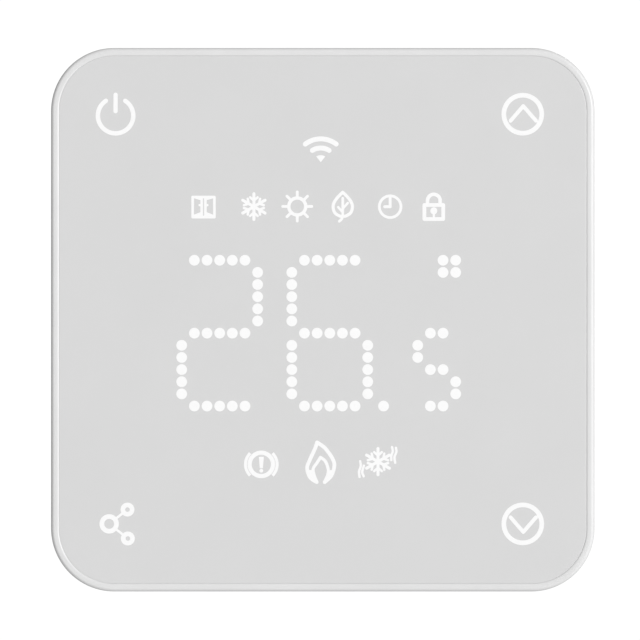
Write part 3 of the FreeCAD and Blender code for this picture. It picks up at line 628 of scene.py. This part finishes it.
def make_wifi_icon(x=-0.33, z=24.55):
    shapes = []
    for radius, spread in ((4.03, 37.5), (2.58, 31)):
        shapes.append(line(arc_points(x, z, radius, 90 - spread, 90 + spread), 0.78))
    wedge = [(x, z + 0.34), *arc_points(x, z, 1.45, 60, 120, 12)]
    shapes.append(prism(wedge))
    lit_piece("icon_wifi", shapes)


def make_window_icon(x=-18.85, z=17.8):
    half_w, half_h, width = 1.72, 1.59, 0.42
    corners = [(-half_w, -half_h), (half_w, -half_h), (half_w, half_h), (-half_w, half_h)]
    shapes = []
    for start, end in zip(corners, corners[1:] + corners[:1]):
        shapes.append(line(moved([start, end], x, z), width))
    sash = [(1.66, 1.5), (0.09, 1.5), (0.09, -1.5), (1.66, -1.5), (1.5, -1.2), (0.5, -0.8)]
    sash += [(0.5, 0.1), (0.78, 0.16), (0.78, 0.46), (0.5, 0.5), (0.5, 1.1), (1.5, 1.38)]
    for side in (-1, 1):
        shapes.append(prism(moved([(side * px, pz) for px, pz in sash], x, z)))
    lit_piece("icon_window", shapes)


def make_sun_icon(x=-4.04, z=17.9):
    shapes = [ring(x, z, 1.34, 0.54)]
    for ray in range(8):
        turn = math.radians(45 * ray)
        points = [(radius * math.cos(turn), radius * math.sin(turn)) for radius in (1.5, 2.3)]
        shapes.append(line(moved(points, x, z), 0.45))
    lit_piece("icon_sun", shapes)


def make_leaf_icon(x=3.15):
    half = [(0, 20.15), (0.75, 19.4), (1.36, 18.55), (1.52, 17.75)]
    half += [(1.25, 16.9), (0.5, 16.4), (0, 16.35)]
    shapes = []
    for side in (-1, 1):
        shapes.append(line(smooth_points([(side * px + x, pz) for px, pz in half]), 0.5))
    shapes.append(line([(x, 19.2), (x, 16.35)], 0.42))
    shapes.append(line([(x - 0.72, 17.8), (x, 16.95)], 0.38))
    shapes.append(line([(x + 0.8, 18.45), (x, 17.55)], 0.38))
    shapes.append(line(smooth_points([(x, 16.5), (x - 0.15, 15.95), (x - 0.55, 15.55)]), 0.42))
    lit_piece("icon_leaf", shapes)


def make_clock_icon(x=10.64, z=17.86):
    shapes = [ring(x, z, 1.71, 0.44)]
    shapes.append(line([(x, z), (x, z + 1.6)], 0.45))
    shapes.append(line([(x, z), (x - 0.85, z)], 0.48))
    lit_piece("icon_clock", shapes)


def make_lock_icon(x=17.54):
    low, high, half, width = 15.91, 18.13, 1.49, 0.6
    corners = [(x - half, low), (x + half, low), (x + half, high), (x - half, high)]
    shapes = [line([a, b], width) for a, b in zip(corners, corners[1:] + corners[:1])]
    shackle = [(x + 1, high), *arc_points(x, 18.82, 1.0, 0, 180, 20), (x - 1, high)]
    shapes.append(line(shackle, 0.57))
    shapes.append(disc(x, 17.2, 0.55))
    shapes.append(line([(x, 17.2), (x, 16.3)], 0.36))
    lit_piece("icon_lock", shapes)


def make_alarm_icon(x=-9.72, z=-22.86):
    shapes = [ring(x, z, 1.85, 0.67)]
    for middle in (0, 180):
        arc = arc_points(x, z, 2.5, middle - 45, middle + 45)
        shapes.append(prism(stroke(arc, 0.48, round_ends=False)))
    bar = [(-0.4, 1.2), (-0.25, -0.6), (0.25, -0.6), (0.4, 1.2)]
    shapes.append(prism(moved(bar, x, z)))
    shapes.append(disc(x, z - 1.0, 0.3))
    lit_piece("icon_alarm", shapes)


def make_flame_icon(x=-0.36, z=-22.8):
    left = [(-0.6, -2.87), (-1.65, -2.1), (-2.12, -0.63), (-1.64, 0.76), (-0.85, 2.5)]
    left += [(-0.55, 3.42)]
    right = [(-0.55, 3.42), (0.3, 2.85), (0.97, 2.2), (1.87, 0.89), (2.18, -0.27)]
    right += [(1.69, -1.84), (0.65, -2.87)]
    inner_left = [(-0.6, -2.8), (-1.0, -1.8), (-1.16, -0.74), (-0.55, 0.2), (0, 1.05)]
    inner_right = [(0, 1.05), (0.75, 0.45), (1.2, -0.74), (1.15, -1.66), (0.65, -2.8)]
    fill_left = [(-0.6, -2.85), (-1.65, -2.1), (-2.05, -0.95), (-1.1, -0.95)]
    fill_right = [(0.65, -2.85), (1.69, -1.84), (2.1, -0.95), (1.1, -0.95)]
    shapes = [line(moved(smooth_points(part), x, z), 0.6) for part in (left, right)]
    shapes += [line(moved(smooth_points(part), x, z), 0.5) for part in (inner_left, inner_right)]
    shapes += [prism(moved(part, x, z)) for part in (fill_left, fill_right)]
    lit_piece("icon_flame", shapes)


def make_cooling_icon(x=8.72, z=-22.43):
    shapes = snowflake(x, z, 2.08, 0.48)
    waves = (
        [(2.83, 2.2), (2.91, 1.55), (2.61, 0.73), (2.72, -0.19)],
        [(2.2, 2.31), (2.33, 1.65), (2.11, 0.94), (2.1, 0.24)],
        [(-2.83, 0.08), (-2.72, -0.68), (-3.0, -1.55), (-2.91, -2.42)],
        [(-2.23, -0.63), (-2.41, -1.23), (-2.49, -1.73), (-2.26, -2.31)],
    )
    for wave in waves:
        shapes.append(line(moved(smooth_points(wave), x, z), 0.38))
    lit_piece("icon_cooling", shapes)


def make_icons():
    make_power_icon()
    make_arrow_icon("icon_up", 31.6, 32.48, 1)
    make_arrow_icon("icon_down", 31.6, -32.26, -1)
    make_link_icon()
    make_wifi_icon()
    make_window_icon()
    lit_piece("icon_snowflake", snowflake(-10.89, 17.87, 2.04, 0.48))
    make_sun_icon()
    make_leaf_icon()
    make_clock_icon()
    make_lock_icon()
    make_alarm_icon()
    make_flame_icon()
    make_cooling_icon()


# ------------------------------------------------------------- the CAD nodes' materials


def paint_nodes():
    looks = {
        "film_white": moulded("film_white", (0.9, 0.9, 0.88), 0.5),
        "mask_black": moulded("mask_black", (0.03, 0.03, 0.032), 0.55),
        "lamp": moulded("lamp_resin", (0.85, 0.8, 0.5), 0.3),
        "board_green": circuit_board("board_green", (0.012, 0.13, 0.05), (0.05, 0.3, 0.1)),
        "spring_steel": sheet_metal("spring_steel", (0.62, 0.62, 0.62), 0.28),
        "zinc_steel": sheet_metal("zinc_steel", (0.66, 0.68, 0.72), 0.34),
        "chip_black": moulded("chip_black", (0.025, 0.025, 0.028), 0.5),
        "shield_tin": sheet_metal("shield_tin", (0.75, 0.75, 0.76), 0.25),
        "base_plastic": moulded("base_plastic", (0.78, 0.78, 0.77), 0.5, 0.3, 0.006),
        "screw_steel": sheet_metal("screw_steel", (0.7, 0.7, 0.72), 0.22, (1, 1, 1)),
        "header_black": moulded("header_black", (0.03, 0.03, 0.03), 0.45),
        "pin_brass": sheet_metal("pin_brass", (0.85, 0.62, 0.25), 0.2, (1, 5, 1)),
        "ferrite": cast_part("ferrite", (0.05, 0.05, 0.052), 0.6),
        "winding": wound_wire("winding", (0.65, 0.24, 0.08)),
        "tape_yellow": moulded("tape_yellow", (0.75, 0.5, 0.04), 0.35),
        "sleeve_dark": moulded("sleeve_dark", (0.02, 0.03, 0.07), 0.3),
        "film_box": cast_part("film_box", (0.62, 0.4, 0.05), 0.4),
        "disc_blue": cast_part("disc_blue", (0.02, 0.06, 0.28), 0.3, 0.8, 0.02),
        "fuse_brown": moulded("fuse_brown", (0.05, 0.025, 0.015), 0.45),
        "relay_white": moulded("relay_white", (0.75, 0.75, 0.72), 0.35),
        "relay_inner": moulded("relay_inner", (0.03, 0.03, 0.03), 0.5),
        "iron": sheet_metal("iron", (0.5, 0.5, 0.48), 0.35),
        "contact_metal": sheet_metal("contact_metal", (0.75, 0.68, 0.55), 0.25),
        "terminal_green": moulded("terminal_green", (0.03, 0.2, 0.07), 0.42),
        "nickel_brass": sheet_metal("nickel_brass", (0.66, 0.62, 0.52), 0.27),
        "bead_black": cast_part("bead_black", (0.02, 0.02, 0.02), 0.3),
        "shell_white": WHITE_SHELL,
        "panel_grey": bpy.data.materials["panel_grey"],
    }
    slots = {part["node"]: part["material_slot"] for part in frame["record"]["subparts"]}
    for name, cad in frame["nodes"].items():
        cad.data.materials.clear()
        cad.data.materials.append(looks[slots[name]])


EDGES = {
    0.06: (
        "relay_armature", "relay_card", "relay_moving_contact", "relay_fixed_contacts",
        "relay_yoke", "contact_bars",
    ),
    0.08: (
        "controller_chip", "led_driver_chips", "board_passives", "touch_springs",
        "header_pins", "display_leds",
    ),
    0.1: (
        "board_screws", "pin_header", "board_socket", "transformer_core", "relay_base",
        "relay_bobbin", "retaining_springs", *(f"clamp_cage_{k}" for k in range(1, 7)),
    ),
    0.14: (
        "bracket_screws", "cover_screws", "mounting_bracket", "wifi_shield", "inductor",
        "temperature_sensor", *(f"terminal_screw_{k}" for k in range(1, 7)),
    ),
    0.2: (
        "base_housing", "terminal_block_left", "terminal_block_right", "module_back_cover",
        "board_cover",
    ),
    0.3: ("relay_case", "buzzer", "rectifier", "converter_chip", "fuse", "transformer_coil"),
    0.5: ("main_capacitor", "output_capacitor", "film_capacitor"),
    1.0: ("varistor",),
}


def soften_nodes():
    """Takes the knife edge off the CAD nodes, each by its own width in millimetres."""
    for name, width in [(name, width) for width, names in EDGES.items() for name in names]:
        cad = frame["nodes"][name]
        weld = cad.modifiers.new("weld", "WELD")
        weld.merge_threshold = 0.002 * MM
        flat = cad.modifiers.new("flat", "DECIMATE")
        flat.decimate_type = "DISSOLVE"
        flat.angle_limit = math.radians(0.5)
        bevel = cad.modifiers.new("bevel", "BEVEL")
        bevel.width = width * MM
        bevel.segments = 3 if width > 0.25 else 2
        bevel.limit_method = "ANGLE"
        bevel.angle_limit = math.radians(SHARP_ANGLE)
        bevel.harden_normals = True
        cad.modifiers.new("seal", "WELD").merge_threshold = 0.001 * MM


# ------------------------------------------------------------- studio and camera

# the white that each light gives to a white surface which faces it
AMBIENT, KEY, BACK = 0.34, 0.77, 0.5


def make_floor():
    """A wide pale floor, well below the object, which hangs on a wall."""
    level = CAD_BOX[0].z - 0.21
    half_width, near, far = 6, -8, 1.9
    corners = [(-half_width, near), (half_width, near), (half_width, far), (-half_width, far)]
    mesh = bpy.data.meshes.new("floor")
    mesh.from_pydata([(x, y, level) for x, y in corners], [], [(0, 1, 2, 3)])
    floor = link_mesh("floor", mesh)
    look = Look("floor_paint", (0.9, 0.9, 0.9), 0.7)
    look.tint(look.noise(60, 3), (0.88, 0.88, 0.88), 0.5)
    mesh.materials.append(look.material)


def make_world():
    """White behind the object, and a softer, even light on it."""
    world = bpy.data.worlds.new("studio")
    bpy.context.scene.world = world
    world.use_nodes = True
    nodes, links = world.node_tree.nodes, world.node_tree.links
    lit = nodes["Background"]
    lit.inputs["Color"].default_value = (1, 1, 1, 1)
    lit.inputs["Strength"].default_value = AMBIENT
    seen = nodes.new("ShaderNodeBackground")
    seen.inputs["Color"].default_value = (1, 1, 1, 1)
    seen.inputs["Strength"].default_value = 1.05
    path = nodes.new("ShaderNodeLightPath")
    mix = nodes.new("ShaderNodeMixShader")
    links.new(path.outputs["Is Camera Ray"], mix.inputs["Fac"])
    links.new(lit.outputs["Background"], mix.inputs[1])
    links.new(seen.outputs["Background"], mix.inputs[2])
    links.new(mix.outputs["Shader"], nodes["World Output"].inputs["Surface"])


def make_light(name, source, level, spread):
    """A wide soft light far away towards source; level is the white it gives a facing surface."""
    light = bpy.data.lights.new(name, "SUN")
    light.energy = level * math.pi
    light.angle = math.radians(spread)
    lamp = bpy.data.objects.new(name, light)
    bpy.context.scene.collection.objects.link(lamp)
    lamp.rotation_mode = "QUATERNION"
    lamp.rotation_quaternion = Vector(source).to_track_quat("Z", "Y")
    return lamp


def make_camera():
    """A long lens, straight on; the face sits a hair right of the picture's middle."""
    data = bpy.data.cameras.new("camera")
    data.lens, data.sensor_width = 200, 36
    data.clip_start, data.clip_end = 0.05, 20
    faces_across = 1.1773
    distance = 2 * HALF_FACE * faces_across * data.lens / data.sensor_width
    outline = BEZEL_FRONT + 0.7 * MM
    camera = bpy.data.objects.new("camera", data)
    bpy.context.scene.collection.objects.link(camera)
    camera.location = (-0.44 * MM, outline - distance, -0.045 * MM)
    camera.rotation_euler = (math.radians(90), 0, 0)
    bpy.context.scene.camera = camera


bpy.context.scene.view_settings.view_transform = "Standard"
make_bezel()
make_panel()
make_display()
make_icons()
paint_nodes()
soften_nodes()
make_floor()
make_world()
make_light("key", (0.62, -0.77, 0.16), KEY, 25)
make_light("back_fill", (0.35, 0.9, 0.2), BACK, 35).visible_glossy = False
make_camera()
